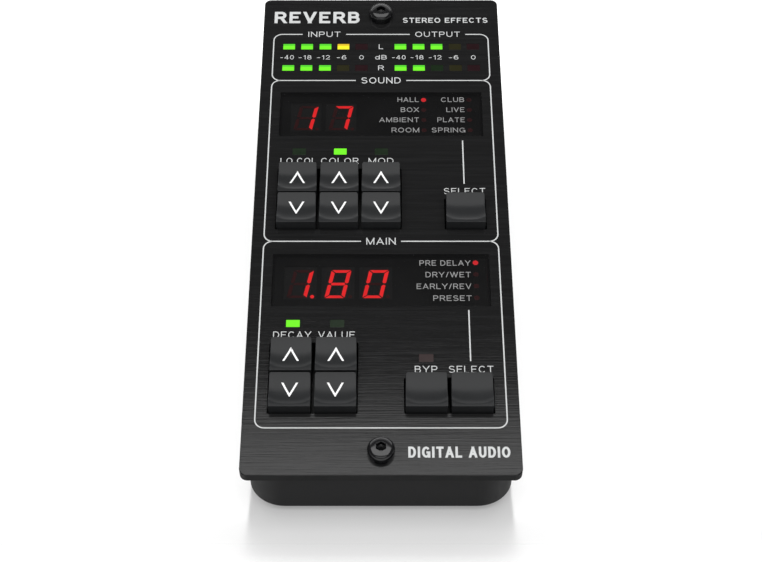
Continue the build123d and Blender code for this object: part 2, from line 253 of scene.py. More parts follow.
DOT_LIT = glowing("dot_lit", (1.0, 0.03, 0.04), (0.9, 0.024, 0.03), strength=2.5)
DOT_OFF = grained("dot_off", (0.2, 0.01, 0.014), (0.25, 0.012, 0.018), (0.4, 0.5), scale=4000)
GREEN_LIT = glowing("green_lit", (0.19, 1.0, 0.012), (0.17, 0.95, 0.01))
# a dimmer copy of the green glow: painted shade over the rear of a lit lamp
GREEN_LIT_SHADED = glowing("green_lit_shaded", (0.1, 0.76, 0.02), (0.09, 0.7, 0.018))
YELLOW_LIT = glowing("yellow_lit", (1.0, 0.98, 0.01), (1.0, 0.93, 0.008))
# a dimmer copy of the yellow glow: painted shade over the rear of a lit lamp
YELLOW_LIT_SHADED = glowing("yellow_lit_shaded", (0.85, 0.58, 0.015), (0.8, 0.53, 0.012))
GREEN_EDGE = grained("green_edge", (0.002, 0.022, 0.001), (0.003, 0.03, 0.002), (0.4, 0.5),
                     specular=0.2)
YELLOW_EDGE = grained("yellow_edge", (0.02, 0.008, 0.001), (0.03, 0.012, 0.002), (0.4, 0.5),
                      specular=0.2)
GREEN_OFF = grained("green_off", (0.007, 0.016, 0.0065), (0.009, 0.019, 0.008), (0.2, 0.25),
                    distance=0.000005, specular=0.3)
RED_OFF = grained("red_off", (0.027, 0.016, 0.016), (0.032, 0.019, 0.019), (0.2, 0.25),
                  distance=0.000005, specular=0.3)
METER_GREEN_OFF = grained("meter_green_off", (0.0065, 0.0155, 0.0056), (0.0083, 0.0187, 0.0072),
                          (0.2, 0.25), distance=0.000005, specular=0.1)
METER_YELLOW_OFF = grained("meter_yellow_off", (0.017, 0.016, 0.0056), (0.0208, 0.0192, 0.0072),
                           (0.2, 0.25), distance=0.000005, specular=0.1)
METER_RED_OFF = grained("meter_red_off", (0.0145, 0.0047, 0.0061), (0.0179, 0.0059, 0.0077),
                        (0.2, 0.25), distance=0.000005, specular=0.1)
WHITE_INK = grained("white_ink", (0.55, 0.56, 0.56), (0.61, 0.62, 0.62), (0.5, 0.6),
                    scale=5000, distance=0.000005, specular=0.1)
KEY_INK = grained("key_ink", (0.88, 0.88, 0.88), (0.94, 0.94, 0.94), (0.4, 0.5),
                  scale=5000, distance=0.000005)
GREY_INK = grained("grey_ink", (0.25, 0.25, 0.25), (0.29, 0.29, 0.29), (0.5, 0.6),
                   scale=5000, distance=0.000005, specular=0.2)
BLACK_TRIM = grained("black_trim", (0.004, 0.004, 0.004), (0.006, 0.006, 0.006), (0.5, 0.65),
                     distance=0.00002, specular=0.3)
WHITE_TRIM = grained("white_trim", (0.6, 0.59, 0.55), (0.7, 0.69, 0.65), (0.45, 0.6),
                     scale=2500, distance=0.00002)
BOARD = grained("solder_mask", (0.003, 0.0035, 0.0035), (0.005, 0.0055, 0.0055), (0.3, 0.42),
                scale=2500, distance=0.00003)
STEEL = grained("plated_steel", (0.5, 0.5, 0.49), (0.62, 0.62, 0.6), (0.25, 0.38),
                scale=2500, metallic=1.0)
BRASS = grained("insert_brass", (0.7, 0.48, 0.2), (0.8, 0.58, 0.28), (0.25, 0.38),
                scale=2500, metallic=1.0)
CHIP_LAMP = grained("chip_lamp", (0.7, 0.68, 0.5), (0.8, 0.78, 0.6), (0.3, 0.4), scale=2500)


# ------------------------ making pieces


def add_object(name, data):
    """A new object in the scene."""
    made = bpy.data.objects.new(name, data)
    bpy.context.scene.collection.objects.link(made)
    return made


def add_mesh(name, mesh, material):
    """A new object from a bmesh, which is freed."""
    data = bpy.data.meshes.new(name)
    mesh.to_mesh(data)
    mesh.free()
    data.materials.append(material)
    return add_object(name, data)


def finish_piece(name, mesh, material, slot, body="chassis", smooth_angle=30.0):
    """Turns a bmesh in the plate's frame into a piece that rides on a body: closed, with its normals
    out. Edges that bend less than the angle, in degrees, are shaded smooth."""
    bmesh.ops.recalc_face_normals(mesh, faces=mesh.faces)
    bmesh.ops.transform(mesh, matrix=PLATE, verts=mesh.verts)
    for face in mesh.faces:
        face.smooth = True
    for edge in mesh.edges:
        edge.smooth = edge.calc_face_angle(0.0) < math.radians(smooth_angle)
    piece = add_mesh(name, mesh, material)
    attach(piece, body)
    return piece


def prism(mesh, outline, low, high, rim=0.0):
    """A closed slab over an outline in x and v, its top edge rounded off by rim."""
    bottom = [mesh.verts.new((x, v, low)) for x, v in outline]
    face = mesh.faces.new(bottom)
    made = bmesh.ops.extrude_face_region(mesh, geom=[face])
    top = [item for item in made["geom"] if isinstance(item, bmesh.types.BMVert)]
    bmesh.ops.translate(mesh, verts=top, vec=(0, 0, high - low))
    if rim:
        lid = next(item for item in made["geom"] if isinstance(item, bmesh.types.BMFace))
        bmesh.ops.bevel(mesh, geom=list(lid.edges), offset=rim, segments=2, profile=0.5, affect="EDGES")


def corner(x, v, start, radius, steps=8):
    """Points of a quarter circle about x and v, anticlockwise from an angle in degrees."""
    angles = [math.radians(start + 90 * step / steps) for step in range(steps + 1)]
    return [(x + radius * math.cos(angle), v + radius * math.sin(angle)) for angle in angles]


def rounded_outline(left, right, front, rear, radius, steps=4):
    """Corners of a rectangle with round corners, anticlockwise."""
    places = ((right - radius, front + radius), (right - radius, rear - radius),
              (left + radius, rear - radius), (left + radius, front + radius))
    return [point for turn, (x, v) in enumerate(places)
            for point in corner(x, v, 90 * (turn - 1), radius, steps)]


def skin(mesh, rings, capped=True):
    """Faces between each ring of points and the next, and over the first and the last ring."""
    for first, second in zip(rings, rings[1:]):
        for index in range(len(first)):
            following = (index + 1) % len(first)
            mesh.faces.new((first[index], first[following], second[following], second[index]))
    if capped:
        mesh.faces.new(rings[0])
        mesh.faces.new(rings[-1])


def strip(mesh, steps, closed, low, high):
    """A flat closed solid along centres and side steps."""
    rows = []
    for point, step in steps[:-1] if closed else steps:
        left, right = point - step, point + step
        rows.append([mesh.verts.new((*side, c)) for side, c in
                     ((left, low), (right, low), (right, high), (left, high))])
    skin(mesh, rows + rows[:1] if closed else rows, capped=not closed)


def ribbon(mesh, path, width, low, high):
    """A flat strip of ink along an open path of points in x and v."""
    steps = []
    for index, point in enumerate(path):
        before = Vector(path[max(index - 1, 0)])
        after = Vector(path[min(index + 1, len(path) - 1)])
        steps.append((Vector(point), (after - before).normalized().orthogonal() * width / 2))
    strip(mesh, steps, False, low, high)


def turned(mesh, profile, place, steps=48, flats=()):
    """A turned shape about c through a place, from a profile of (radius, c). The rings whose index
    is in flats are hexagons, with their radius across the flats."""
    rings = []
    for index, (radius, c) in enumerate(profile):
        points = []
        for step in range(steps):
            angle = 2 * math.pi * step / steps
            reach = radius
            if index in flats:
                reach = radius / math.cos((angle + math.pi / 6) % (math.pi / 3) - math.pi / 6)
            points.append((place[0] + reach * math.cos(angle), place[1] + reach * math.sin(angle), c))
        rings.append([mesh.verts.new(point) for point in points])
    skin(mesh, rings)


def arc(x, y, reach, rise, start, end):
    """Points of an elliptical arc, from one angle in degrees to another, about 15 apart."""
    count = max(2, round(abs(end - start) / 15))
    angles = [math.radians(start + (end - start) * step / count) for step in range(count + 1)]
    return [(x + reach * math.cos(angle), y + rise * math.sin(angle)) for angle in angles]


def ring(x, y, reach, rise):
    """Points of an ellipse. The first and the last are the same."""
    return arc(x, y, reach, rise, 0, 360)


# Each letter: its width and its strokes, as centre lines. 1 is the width across and the capital
# height up, both less one stroke.
GLYPHS = {
    "A": (0.86, [(0, 0), (0.5, 1)], [(0.5, 1), (1, 0)], [(0.17, 0.3), (0.83, 0.3)]),
    "B": (0.72, [(0, 0), (0, 1)],
          [(0, 1), (0.55, 1), *arc(0.55, 0.765, 0.37, 0.235, 75, -90), (0, 0.53)],
          [(0.5, 0.53), *arc(0.6, 0.265, 0.4, 0.265, 90, -90), (0, 0)]),
    "C": (0.84, arc(0.5, 0.5, 0.5, 0.5, 38, 322)),
    "D": (0.78, [(0, 0), (0, 1)], [(0, 1), *arc(0.42, 0.5, 0.58, 0.5, 90, -90), (0, 0)]),
    "E": (0.68, [(1, 1), (0, 1), (0, 0), (1, 0)], [(0, 0.52), (0.93, 0.52)]),
    "F": (0.64, [(1, 1), (0, 1), (0, 0)], [(0, 0.5), (0.88, 0.5)]),
    "G": (0.88, arc(0.5, 0.5, 0.5, 0.5, 38, 345), [(0.55, 0.46), (1, 0.46), (1, 0)]),
    "H": (0.78, [(0, 0), (0, 1)], [(1, 0), (1, 1)], [(0, 0.52), (1, 0.52)]),
    "I": (0.0, [(0.5, 0), (0.5, 1)]),
    "L": (0.62, [(0, 1), (0, 0), (1, 0)]),
    "M": (0.94, [(0, 0), (0, 1)], [(1, 0), (1, 1)], [(0, 1), (0.5, 0)], [(0.5, 0), (1, 1)]),
    "N": (0.78, [(0, 0), (0, 1)], [(1, 0), (1, 1)], [(0, 1), (1, 0)]),
    "O": (0.9, ring(0.5, 0.5, 0.5, 0.5)),
    "P": (0.7, [(0, 0), (0, 1)], [(0, 1), *arc(0.62, 0.725, 0.38, 0.275, 90, -90), (0, 0.45)]),
    "R": (0.74, [(0, 0), (0, 1)], [(0, 1), *arc(0.62, 0.735, 0.36, 0.265, 90, -90), (0, 0.47)],
          [(0.58, 0.47), (1, 0)]),
    "S": (0.74, arc(0.5, 0.755, 0.46, 0.245, 22, 270) + arc(0.5, 0.255, 0.5, 0.255, 75, -158)),
    "T": (0.74, [(0, 1), (1, 1)], [(0.5, 0), (0.5, 1)]),
    "U": (0.76, [(0, 1), *arc(0.5, 0.38, 0.5, 0.38, 180, 360), (1, 1)]),
    "V": (0.82, [(0, 1), (0.5, 0)], [(0.5, 0), (1, 1)]),
    "W": (1.24, [(0, 1), (0.25, 0)], [(0.25, 0), (0.5, 1)], [(0.5, 1), (0.75, 0)], [(0.75, 0), (1, 1)]),
    "X": (0.8, [(0, 0), (1, 1)], [(0, 1), (1, 0)]),
    "Y": (0.82, [(0, 1), (0.5, 0.42)], [(1, 1), (0.5, 0.42)], [(0.5, 0), (0.5, 0.46)]),
    "d": (0.6, [(1, 0), (1, 1)], ring(0.48, 0.35, 0.48, 0.35)),
    "/": (0.34, [(0, 0), (1, 1)]),
    "-": (0.34, [(0, 0.4), (1, 0.4)]),
    "0": (0.56, ring(0.5, 0.5, 0.5, 0.5)),
    "1": (0.26, [(1, 0), (1, 1)], [(0, 0.76), (1, 0.94)]),
    "2": (0.56, [*arc(0.5, 0.72, 0.47, 0.28, 170, -30), (0, 0), (1, 0)]),
    "4": (0.62, [(0.76, 0), (0.76, 1)], [(0.76, 1), (0, 0.28), (1, 0.28)]),
    "6": (0.56, ring(0.5, 0.31, 0.5, 0.31), arc(0.56, 0.36, 0.56, 0.64, 180, 48)),
    "8": (0.56, ring(0.5, 0.765, 0.42, 0.235), ring(0.5, 0.27, 0.5, 0.27)),
    " ": (0.12,),
}


LETTER_GAP = 0.26  # between two letters, on the scale of their widths
MITRE = 0.6  # least cosine of half a bend, so that a sharp bend isn't drawn too wide
LEVEL = 0.3  # a stroke that rises less than this is level
SAME = 1e-6  # numbers that differ by less are the same


def side_steps(path, stroke, corner_low, corner_high):
    """For each point of a letter's stroke, its centre and the step to its side. Ends on the letter's
    edge are cut along that edge."""
    closed = path[0] == path[-1]
    points = [Vector(point) for point in path]
    runs = [(after - before).normalized() for before, after in zip(points, points[1:])]
    found = []
    for index, point in enumerate(points):
        before = runs[index - 1] if index or closed else runs[0]
        after = runs[index % len(runs)] if index < len(runs) or closed else runs[-1]
        across = Vector((-before.y - after.y, before.x + after.x)).normalized()
        share = max(across.dot(Vector((-before.y, before.x))), MITRE)
        step = across * stroke / 2 / share
        if not closed and index in (0, len(runs)):
            out = -runs[0] if index == 0 else runs[-1]
            on_row = min(abs(point.y - corner_low.y), abs(point.y - corner_high.y)) < SAME
            on_side = min(abs(point.x - corner_low.x), abs(point.x - corner_high.x)) < SAME
            if on_row and abs(out.y) > LEVEL:
                point = point + out * stroke / 2 / abs(out.y)
                step = Vector((math.copysign(stroke / 2 / abs(out.y), step.x), 0))
            elif on_side and abs(out.y) < LEVEL:
                point = point + out * stroke / 2
        found.append((point, step))
    return found, closed


def lettering(mesh, text, left, right, base, cap, stroke, bed):
    """Solid letters of even stroke that fill the width from left to right on the baseline. Strokes
    of one letter differ a little in thickness where they cross."""
    widths = [GLYPHS[letter][0] for letter in text]
    scale = (right - left - stroke * len(text)) / (sum(widths) + LETTER_GAP * (len(text) - 1))
    x = left
    for letter in text:
        width = GLYPHS[letter][0] * scale
        low = Vector((x + stroke / 2, base + stroke / 2))
        high = Vector((low.x + width, base + cap - stroke / 2))
        for layer, path in enumerate(GLYPHS[letter][1:]):
            placed = [(low.x + u * width, low.y + w * (high.y - low.y)) for u, w in path]
            placed = [point for index, point in enumerate(placed)
                      if index == 0 or (Vector(point) - Vector(placed[index - 1])).length > 10 * SAME]
            if path[0] == path[-1]:
                placed[-1] = placed[0]
            strip(mesh, *side_steps(placed, stroke, low, high), bed, bed + INK * (1 + INK_STEP * layer))
        x += width + stroke + LETTER_GAP * scale


# ------------------------ printing on the plate

FACE = 0.02  # top of the plate's brushed face
FACE_REACH = 0.2  # the chamfer lies no deeper than this
FACING_UP = 0.5  # least upward share of a normal on the face and its chamfer
INK = 0.02  # thickness of printed ink
INK_STEP = 0.1  # how much strokes that cross differ in thickness, as a share
LINE = 0.28  # width of the printed lines
FRAME_X = 26.3  # from the centre line to the frames' side lines
FRAME_ROWS = (11.16, 59.62, 108.16, 123.44)
FRAME_BREAKS = ((), ((-4.5, 4.5),), ((-6.1, 6.1),), ((-19.3, -8.6), (7.1, 20.8)))  # in each row
FRAME_CORNER = 2.0
SELECT_X = 19.12  # the lines from the windows down to the two SELECT keys
SELECT_ROWS = ((76.15, 89.21), (27.64, 40.87))

meter_bars = solids("meter_light_bars")
status_bars = solids("status_light_bars")


def brushed_face():
    """The plate's brushed upper face with its chamfer: a thin layer with the plate's own openings."""
    mesh = bmesh.new()
    mesh.from_mesh(nodes["front_plate"].data)
    bmesh.ops.transform(mesh, matrix=TO_PLATE, verts=mesh.verts)
    bmesh.ops.remove_doubles(mesh, verts=mesh.verts, dist=WELD)
    mesh.normal_update()
    others = [face for face in mesh.faces
              if face.normal.z < FACING_UP or face.calc_center_median().z < -FACE_REACH]
    bmesh.ops.delete(mesh, geom=others, context="FACES")
    mesh.normal_update()
    lift = {vertex: vertex.normal.copy() for vertex in mesh.verts}
    made = bmesh.ops.extrude_face_region(mesh, geom=list(mesh.faces))
    over = {tuple(item.co): item for item in made["geom"] if isinstance(item, bmesh.types.BMVert)}
    for vertex, normal in lift.items():
        over[tuple(vertex.co)].co += normal * FACE
        vertex.co -= normal * FACE / 2
    finish_piece("brushed_face", mesh, ANODISED, "black_anodised")


def frame_lines():
    """The three printed frames, which share their cross lines. Titles break the lines."""
    mesh = bmesh.new()
    inner = FRAME_X - FRAME_CORNER
    for row, breaks in zip(FRAME_ROWS, FRAME_BREAKS):
        stops = [-inner, *[stop for pair in breaks for stop in pair], inner]
        for start, end in zip(stops[::2], stops[1::2]):
            ribbon(mesh, [(start, row), (end, row)], LINE, FACE, FACE + INK)
    for front, rear in zip(FRAME_ROWS, FRAME_ROWS[1:]):
        low, high = front + FRAME_CORNER, rear - FRAME_CORNER
        for path in (corner(inner, low, -90, FRAME_CORNER) + corner(inner, high, 0, FRAME_CORNER),
                     corner(-inner, high, 90, FRAME_CORNER) + corner(-inner, low, 180, FRAME_CORNER)):
            ribbon(mesh, path, LINE, FACE, FACE + INK * (1 - INK_STEP))
    for low, high in SELECT_ROWS:
        ribbon(mesh, [(SELECT_X, low), (SELECT_X, high)], LINE, FACE, FACE + INK)
    finish_piece("frame_lines", mesh, WHITE_INK, "ink_white")


# Each line of text: middle, width, baseline, capital height and stroke.
LEGENDS = (
    ("REVERB", -15.85, 21.1, 127.25, 3.9, 0.78),
    ("STEREO EFFECTS", 15.9, 21.0, 127.4, 1.7, 0.27),
    ("DIGITAL AUDIO", 16.1, 21.0, 4.1, 2.6, 0.5),
    ("INPUT", -13.95, 7.9, 122.6, 1.75, 0.2),
    ("OUTPUT", 13.95, 11.0, 122.6, 1.75, 0.2),
    ("SOUND", 0.0, 9.5, 107.2, 1.95, 0.23),
    ("MAIN", 0.0, 6.6, 58.7, 1.9, 0.23),
    ("L", 0.0, 1.1, 118.5, 1.55, 0.19),
    ("dB", 0.0, 2.8, 115.05, 1.45, 0.17),
    ("R", 0.0, 1.4, 111.5, 1.55, 0.19),
    ("LO COL", -19.22, 8.3, 82.15, 1.75, 0.19),
    ("COLOR", -9.58, 8.7, 82.15, 1.75, 0.19),
    ("MOD", 0.0, 5.8, 82.15, 1.75, 0.19),
    ("SELECT", 19.16, 9.5, 73.15, 1.75, 0.19),
    ("DECAY", -19.16, 8.2, 33.5, 1.75, 0.19),
    ("VALUE", -9.58, 7.9, 33.5, 1.75, 0.19),
    ("BYP", 9.58, 4.8, 24.7, 1.75, 0.19),
    ("SELECT", 19.16, 9.5, 24.7, 1.75, 0.19),
)
SCALE = (("-40", 3.3), ("-18", 3.1), ("-12", 3.1), ("-6", 2.3), ("0", 1.1))  # with their widths
SCALE_ROW, SCALE_CAP, SCALE_STROKE = 115.05, 1.4, 0.16
SIGN_SHIFT = 0.4  # how far a number with a sign stands to the left of its lamp's middle


def plate_legends():
    """Titles, the meter's scale and the names of the keys."""
    mesh = bmesh.new()
    for text, middle, width, row, cap, stroke in LEGENDS:
        lettering(mesh, text, middle - width / 2, middle + width / 2, row, cap, stroke, FACE)
    columns = sorted({round(centre(bar).x, 2) for bar in meter_bars})
    for half in (columns[:5], columns[5:]):
        for (text, width), middle in zip(SCALE, half):
            left = middle - width / 2 - (SIGN_SHIFT if text[0] == "-" else 0)
            lettering(mesh, text, left, left + width, SCALE_ROW, SCALE_CAP, SCALE_STROKE, FACE)
    finish_piece("plate_legends", mesh, WHITE_INK, "ink_white")


# ------------------------ lamps

LAMP_CORNER = 0.2
LAMP_EDGE = 0.05  # width of the darker edge round a lit lamp
LAMP_SHADED_REAR = 0.34  # share of a lit meter lamp, at its rear, that glows dimmer as painted shade
LAMP_FIT = 0.04  # how much a bar is widened all round, to fill its slot in the plate
LAMP_RIM = 0.03  # rounding of its top edge
CORE_CORNER = 0.12
CORE_DEPTH = 0.3  # how far the bright core reaches down into the bar
CORE_RISE = 0.02  # and how far it stands out


def lamp_bars(name, bars, material, slot, node):
    """Light bars of one colour."""
    mesh = bmesh.new()
    for low, high in bars:
        outline = rounded_outline(low.x - LAMP_FIT, high.x + LAMP_FIT, low.y - LAMP_FIT,
                                  high.y + LAMP_FIT, LAMP_CORNER)
        prism(mesh, outline, low.z, high.z, rim=LAMP_RIM)
    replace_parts(finish_piece(name, mesh, material, slot, smooth_angle=10), node)


def lit_lamps(name, bars, edge, lit, slot, node, shaded=None):
    """Lit bars: a dark edge and a bright core. Where a second glow is given, the core's rear part glows
    in it, dimmer, as painted shade.
    """
    lamp_bars(f"{name}_edge", bars, edge, "lamp_dark", node)
    front, rear = bmesh.new(), bmesh.new()
    for low, high in bars:
        left, right = low.x + LAMP_EDGE, high.x - LAMP_EDGE
        first, last = low.y + LAMP_EDGE, high.y - LAMP_EDGE
        split = last - (last - first) * LAMP_SHADED_REAR if shaded else last
        for mesh, start, end in ((front, first, split), (rear, split, last)):
            if start < end:
                outline = rounded_outline(left, right, start, end, CORE_CORNER)
                prism(mesh, outline, high.z - CORE_DEPTH, high.z + CORE_RISE)
    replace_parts(finish_piece(f"{name}_core", front, lit, slot), node)
    # the rear part glows dimmer: painted shade
    if shaded:
        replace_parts(finish_piece(f"{name}_rear", rear, shaded, slot), node)
    else:
        rear.free()


def lamps():
    """The level meter as it reads, and the status lamps."""
    right_row, left_row = meter_bars[:10], meter_bars[10:]
    node = "meter_light_bars"
    lit_lamps("meter_green_lit", left_row[0:3] + left_row[5:8] + right_row[0:3] + right_row[5:7],
              GREEN_EDGE, GREEN_LIT, "lamp_green", node, GREEN_LIT_SHADED)
    lit_lamps("meter_yellow_lit", left_row[3:4],
              YELLOW_EDGE, YELLOW_LIT, "lamp_yellow", node, YELLOW_LIT_SHADED)
    lamp_bars("meter_green_off", right_row[7:8], METER_GREEN_OFF, "lamp_dark", node)
    lamp_bars("meter_yellow_off", left_row[8:9] + right_row[3:4] + right_row[8:9], METER_YELLOW_OFF,
              "lamp_dark", node)
    lamp_bars("meter_red_off", left_row[4:5] + left_row[9:] + right_row[4:5] + right_row[9:],
              METER_RED_OFF, "lamp_dark", node)
    bypass, decay, value, low_colour, colour, modulation = status_bars
    node = "status_light_bars"
    lit_lamps("status_green_lit", [decay, colour], GREEN_EDGE, GREEN_LIT, "lamp_green", node)
    lamp_bars("status_green_off", [value, low_colour, modulation], GREEN_OFF, "lamp_dark", node)
    lamp_bars("status_red_off", [bypass], RED_OFF, "lamp_dark", node)


# ------------------------ displays

DIGIT_HEIGHT = 7.5
DIGIT_WIDTH = 4.4
DIGIT_SLANT = 0.2  # how far the digits lean to the right, over a height of 1
DIGIT_DROP = 0.23  # how far the digits sit in front of their bodies' middle
SEGMENT = 0.82  # width of the upright segments
SEGMENT_BAR = 0.62  # width of the level ones
SEGMENT_GAP = 0.2
SEGMENT_RISE = 0.1
POINT_RADIUS = 0.43
POINT_X = 2.7  # to the right of the digit's middle
POINT_DROP = 0.1  # how far the point reaches in front of the digit
LIT = {"0": "abcdef", "1": "bc", "7": "abc", "8": "abcdefg"}


def segment_outline(letter):
    """Outline of one of the seven segments in the upright digit, about the digit's centre."""
    w, h, t, b, g = DIGIT_WIDTH / 2, DIGIT_HEIGHT / 2, SEGMENT, SEGMENT_BAR, SEGMENT_GAP
    cap = [(g - w, h), (w - g, h), (w - t - g, h - b), (t + g - w, h - b)]
    side = [(w, h - g), (w - t, h - b - g), (w - t, b / 2 + g), (w - t / 2, g), (w, b / 2 + g / 2)]
    bar = [(t / 2 + g - w, 0), (t * 0.8 + g - w, -b / 2), (w - t * 0.8 - g, -b / 2), (w - t / 2 - g, 0),
           (w - t * 0.8 - g, b / 2), (t * 0.8 + g - w, b / 2)]
    shape, across, up = {
        "a": (cap, 1, 1), "b": (side, 1, 1), "c": (side, 1, -1), "d": (cap, 1, -1),
        "e": (side, -1, -1), "f": (side, -1, 1), "g": (bar, 1, 1),
    }[letter]
    return [(x * across, v * up) for x, v in shape]


def slanted(points, middle):
    """Leans the points over and moves them to the digit's place."""
    return [(middle.x + x + v * DIGIT_SLANT, middle.y + v) for x, v in points]


def display(name, shown, point_after=None):
    """The segments of one window's digits, lit and unlit, on the CAD digit bodies."""
    lit, dark = bmesh.new(), bmesh.new()
    for index, character in enumerate(shown):
        low, high = plate_box(f"{name}_digit_{index + 1}")
        middle = (low + high) / 2 - Vector((0, DIGIT_DROP, 0))
        for letter in "abcdefg":
            mesh = lit if letter in LIT[character] else dark
            outline = slanted(segment_outline(letter), middle)
            prism(mesh, outline, high.z, high.z + SEGMENT_RISE)
        mesh = lit if index == point_after else dark
        spot = (middle.x + POINT_X, middle.y - DIGIT_HEIGHT / 2 + POINT_RADIUS - POINT_DROP)
        turned(mesh, [(POINT_RADIUS, high.z), (POINT_RADIUS, high.z + SEGMENT_RISE)], spot, steps=20)
    finish_piece(f"{name}_segments_lit", lit, SEGMENT_LIT, "digit_red")
    finish_piece(f"{name}_segments_off", dark, SEGMENT_OFF, "digit_face")


DOT_HOLE = 0.48  # radius just inside the mask's holes
DOT_CHAMFER = 0.2
DOT_LENS = (0.62, 0.02)  # radius and height of the small lens on the mask
DOT_LENS_CHAMFER = 0.1
MASK_GAP = 0.002  # between the mask and that lens


def mode_dots():
    """The indicator lamps under the masks. The rearmost lamp of the first column is lit in each."""
    dots = solids("mode_lamps")
    seat = plate_box("main_mask")[1].z + MASK_GAP
    split = (centre(plate_box("main_window")).y + centre(plate_box("sound_window")).y) / 2
    main = [dot for dot in dots if centre(dot).y < split]
    sound = [dot for dot in dots if dot not in main]
    first_column = min(round(centre(dot).x, 1) for dot in sound)
    hall = max((dot for dot in sound if round(centre(dot).x, 1) == first_column), key=lambda d: d[0].y)
    delay = max(main, key=lambda d: d[0].y)
    for name, chosen, material, slot in (
        ("mode_lamps_lit", [hall, delay], DOT_LIT, "lamp_red"),
        ("mode_lamps_off", [dot for dot in dots if dot not in (hall, delay)], DOT_OFF, "lamp_dark"),
    ):
        mesh = bmesh.new()
        for low, high in chosen:
            radius = (high.x - low.x) / 2
            profile = [(radius, low.z), (radius, high.z - DOT_CHAMFER), (radius - DOT_CHAMFER, high.z),
                       (DOT_HOLE, high.z), (DOT_HOLE, seat), (DOT_LENS[0], seat),
                       (DOT_LENS[0], seat + DOT_LENS[1] / 2),
                       (DOT_LENS[0] - DOT_LENS_CHAMFER, seat + DOT_LENS[1])]
            turned(mesh, profile, centre((low, high)), steps=24)
        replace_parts(finish_piece(name, mesh, material, slot), "mode_lamps")


WINDOW_CORNER = 0.15
WINDOW_RIM = 0.06
WINDOW_LIFT = 0.03  # clear of what is under the window


def window_lens(name):
    """The smoked window, its top edges just broken."""
    low, high = plate_box(f"{name}_window")
    mesh = bmesh.new()
    outline = rounded_outline(low.x, high.x, low.y, high.y, WINDOW_CORNER, 2)
    prism(mesh, outline, low.z + WINDOW_LIFT, high.z, rim=WINDOW_RIM)
    lens = finish_piece(f"{name}_lens", mesh, LENS, "smoked_lens", smooth_angle=10)
    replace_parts(lens, f"{name}_window")


# Each column of names: its right edge, the middle of its first row, and the names with their widths.
MODES = (
    (9.0, 102.0, (("HALL", 5.05), ("BOX", 4.3), ("AMBIENT", 9.4), ("ROOM", 6.5))),
    (19.85, 102.0, (("CLUB", 5.5), ("LIVE", 4.3), ("PLATE", 6.5), ("SPRING", 7.9))),
    (19.85, 53.6, (("PRE DELAY", 11.3), ("DRY/WET", 10.0), ("EARLY/REV", 12.0), ("PRESET", 8.4))),
)
MODE_PITCH, MODE_CAP, MODE_STROKE = 3.18, 1.45, 0.17


def window_legends():
    """The names beside the indicator dots, in grey on the lenses."""
    mesh = bmesh.new()
    for right, row, names in MODES:
        for step, (text, width) in enumerate(names):
            base = row - MODE_PITCH * step - MODE_CAP / 2
            lettering(mesh, text, right - width, right, base, MODE_CAP, MODE_STROKE, 0.0)
    finish_piece("window_legends", mesh, GREY_INK, "ink_grey")


# ------------------------ keys

KEY_ROUND = 0.12  # rounding of the top edges
KEY_CORNERS = (0.25, 0.5)  # front and rear corner radius in plan
KEY_LEAST_CORNER = 0.03
KEY_LEAN = 0.02  # how much narrower the top is at its rear
KEY_TRIM = (0.08, 0.06, 0.08)  # taken off the CAD key's front, rear and top
KEY_LIP = 0.5  # flat strip in front of the scoop
KEY_BOW = 1.2  # how far the scoop's front edge curves back at the sides
KEY_BOW_POWER = 4  # how late it curves
KEY_STEP = 0.55  # how much lower the lip is than the rear edge
KEY_WALL = 1.0
KEY_SHARES = (14, 32)  # faces across the key and along it
KEY_CROWD = 1.5  # how much closer the faces along it lie at the front: 1 is evenly
# The scoop's slope, from its front edge at 0 to the key's rear edge at 1: a short steep drop, then a
# long shallow dish. A cubic rise towards the rear edge is added to it.
SCOOP_SLOPES = ((0, 0), (0.03, -0.3), (0.07, -0.26), (0.16, -0.14), (0.29, -0.09), (0.5, -0.07),
                (0.72, -0.02), (1, 0.02))
CHEVRON = {"width": 3.55, "height": 3.35, "stroke": 0.46, "apex": 0.1, "depth": 0.8, "shift": 0.15,
           "steps": 10}


def scoop_depth(share):
    """The scoop's height over a run of 1, summed from its slopes."""
    total = 0.0
    for (start, first), (end, last) in zip(SCOOP_SLOPES, SCOOP_SLOPES[1:]):
        reach = min(max(share - start, 0.0), end - start)
        total += reach * (first + (last - first) * reach / (end - start) / 2)
    return total


def key_surface(low, high):
    """Height of a key's top over x and v: a flat lip, then a scoop that ends higher at the rear."""
    middle, half = (low.x + high.x) / 2, (high.x - low.x) / 2
    front_height = high.z - KEY_STEP

    def height(x, v):
        side = min(abs(x - middle) / half, 1.0)
        edge = low.y + KEY_LIP + KEY_BOW * side**KEY_BOW_POWER
        run = high.y - edge
        u = min(max((v - edge) / run, 0.0), 1.0)
        rise = high.z - front_height - run * scoop_depth(1)
        return front_height + run * scoop_depth(u) + rise * u**3

    return height


def key_sides(low, high, inset, lean):
    """The four sides of a key's outline, anticlockwise from the front, each with half of the rounded
    corner at either end. Points on the long sides lie closer together at the front."""
    middle = (low.x + high.x) / 2
    corners = []
    for turn in range(4):
        radius = max(KEY_CORNERS[turn > 1] - inset, KEY_LEAST_CORNER)
        x = (low.x + inset + radius, high.x - inset - radius)[turn in (1, 2)]
        v = (low.y + inset + radius, high.y - inset - radius)[turn in (2, 3)]
        corners.append(corner(x, v, 180 + 90 * turn, radius, 6))
    sides = []
    for turn in range(4):
        start, end = corners[turn][3:], corners[(turn + 1) % 4][:4]
        count = KEY_SHARES[turn % 2]
        shares = [step / count for step in range(1, count)]
        if turn == 1:
            shares = [share**KEY_CROWD for share in shares]
        if turn == 3:
            shares = [1 - (1 - share)**KEY_CROWD for share in shares]
        between = [tuple(Vector(start[-1]).lerp(Vector(end[0]), share)) for share in shares]
        sides.append([(middle + (x - middle) * (1 - lean * (v - low.y) / (high.y - low.y)), v)
                      for x, v in (*start, *between, *end)])
    return sides


def loop(sides):
    """One closed loop of points from the four sides."""
    return [point for side in sides for point in side[:-1]]


